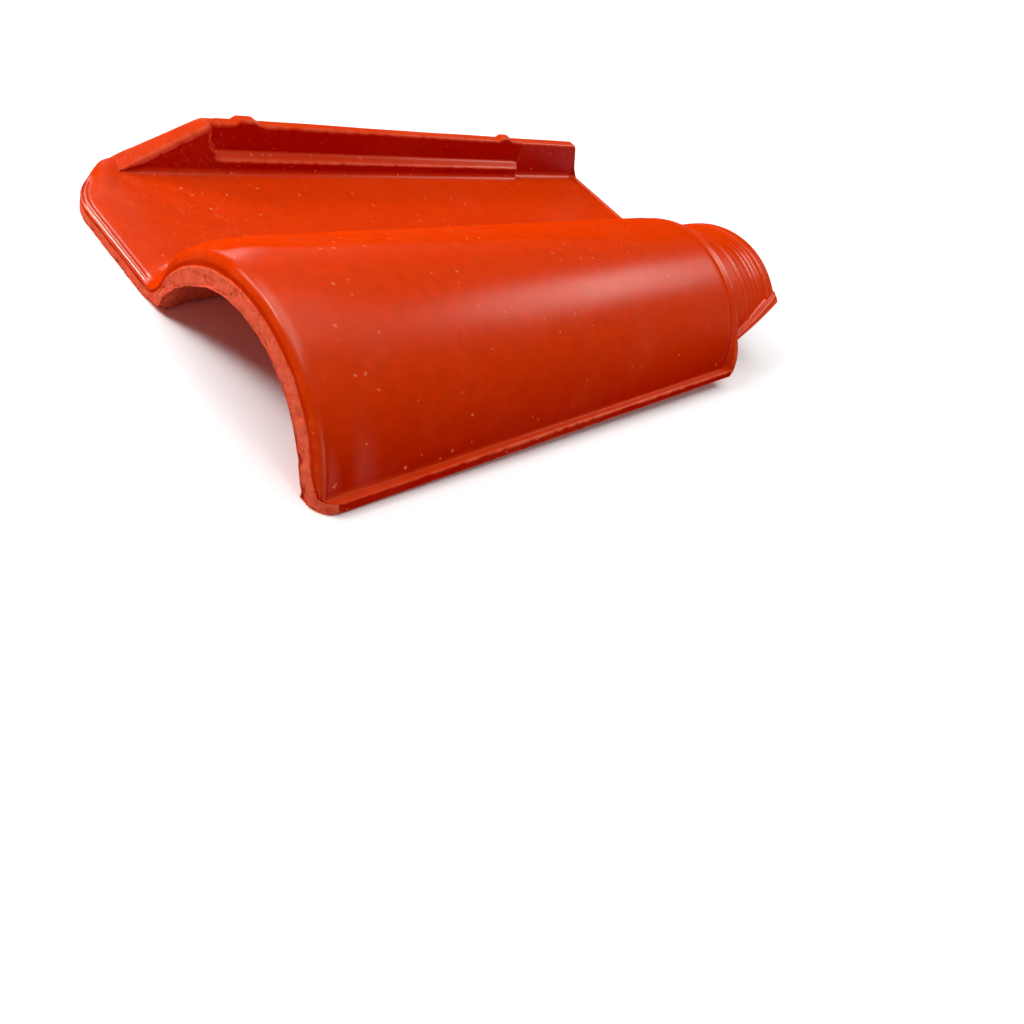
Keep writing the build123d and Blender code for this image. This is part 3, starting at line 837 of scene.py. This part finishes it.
floor_mesh = bpy.data.meshes.new("studio_floor")
outline = [(-1, -1, 0), (1, -1, 0), (1, 1, 0), (-1, 1, 0)]
floor_mesh.from_pydata([(FLOOR_REACH * x, FLOOR_REACH * y, z) for x, y, z in outline], [], [(0, 1, 2, 3)])
floor = bpy.data.objects.new("studio_floor", floor_mesh)
bpy.context.scene.collection.objects.link(floor)
card = bpy.data.materials.new("matt_white_card")
card.use_nodes = True
tree = card.node_tree
tree.nodes.remove(tree.nodes["Principled BSDF"])
rays = add_node(tree, "LightPath", {})
seen = add_node(tree, "Math", {0: rays["Is Camera Ray"], 1: rays["Is Transmission Ray"]},
                operation="MAXIMUM")["Value"]
shown = add_node(tree, "Math", {0: seen, 1: rays["Is Glossy Ray"]}, operation="MAXIMUM")["Value"]
spot = add_node(tree, "TexCoord", {})["Object"]
away = add_node(tree, "VectorMath", {0: spot}, operation="LENGTH")["Value"]
faded = add_node(tree, "MapRange", {"Value": away, "From Min": FADE_START, "From Max": FADE_END},
                 interpolation_type="SMOOTHSTEP")["Result"]
lit = add_node(tree, "BsdfDiffuse", {"Color": SEEN_WHITE})["BSDF"]
white = add_node(tree, "Emission", {"Color": (1, 1, 1, 1), "Strength": 1.0})["Emission"]
paper = add_node(tree, "MixShader", {0: faded, 1: lit, 2: white})["Shader"]
dim = add_node(tree, "BsdfDiffuse", {"Color": DIM_WHITE})["BSDF"]
both = add_node(tree, "MixShader", {0: shown, 1: dim, 2: paper})["Shader"]
tree.links.new(both, tree.nodes["Material Output"].inputs["Surface"])
floor_mesh.materials.append(card)

# Camera where the photograph was taken from: above the flange side, close, and turned on its side.
eye = bpy.data.cameras.new("camera")
eye.sensor_width = 36.0
eye.lens = 27.42
eye.shift_x = 0.00465
eye.shift_y = 0.00561
eye.clip_start, eye.clip_end = 0.02, 120
camera = bpy.data.objects.new("camera", eye)
camera.location = (0.260428, -0.372152, 0.228683)
camera.rotation_euler = (radians(45.30988), radians(-24.24117), radians(46.20535))
bpy.context.scene.collection.objects.link(camera)
bpy.context.scene.camera = camera

# Studio light: a wide box overhead, one behind the head for the long sheen on the roll, two at the
# front for the bend and the cut face, and low ones at the left and beyond the flange.
LAMP_DISTANCE = 1.3


def softbox(name, azimuth, elevation, size, glow):
    """A rectangular lamp towards a compass bearing, measured from +Y to +X, that faces the tile."""
    a, e = radians(azimuth), radians(elevation)
    lamp = bpy.data.lights.new(name, "AREA")
    lamp.shape = "RECTANGLE"
    lamp.size, lamp.size_y = size
    lamp.energy = glow * size[0] * size[1] * pi
    holder = bpy.data.objects.new(name, lamp)
    holder.location = Vector((sin(a) * cos(e), cos(a) * cos(e), sin(e))) * LAMP_DISTANCE
    holder.rotation_euler = (-holder.location).to_track_quat("-Z", "Y").to_euler()
    bpy.context.scene.collection.objects.link(holder)


softbox("overhead_softbox", -120, 80, (1.3, 1.3), 1.65)
softbox("back_softbox", 3, 41, (0.36, 0.42), 8.2)
softbox("front_left_softbox", -126, 26, (0.5, 0.24), 17.0)
softbox("left_softbox", -80, 10, (0.4, 0.12), 12.0)
softbox("front_softbox", -150, 46, (0.42, 0.24), 12.0)
softbox("right_strip", 95, 16, (0.16, 0.4), 10.0)

# Room: pale near the horizon and dim overhead, so that the glaze mirrors no white ceiling.
world = bpy.data.worlds.new("studio")
bpy.context.scene.world = world
world.use_nodes = True
tree = world.node_tree
direction = add_node(tree, "TexCoord", {})["Generated"]
height = add_node(tree, "SeparateXYZ", {0: direction})["Z"]
strength = add_node(tree, "MapRange", {"Value": height, "From Min": 0.08, "From Max": 0.22,
                                       "To Min": 1.0, "To Max": 0.06},
                    interpolation_type="SMOOTHSTEP")["Result"]
tree.nodes["Background"].inputs["Color"].default_value = (1, 1, 1, 1)
tree.links.new(strength, tree.nodes["Background"].inputs["Strength"])
bpy.context.scene.view_settings.view_transform = "Standard"
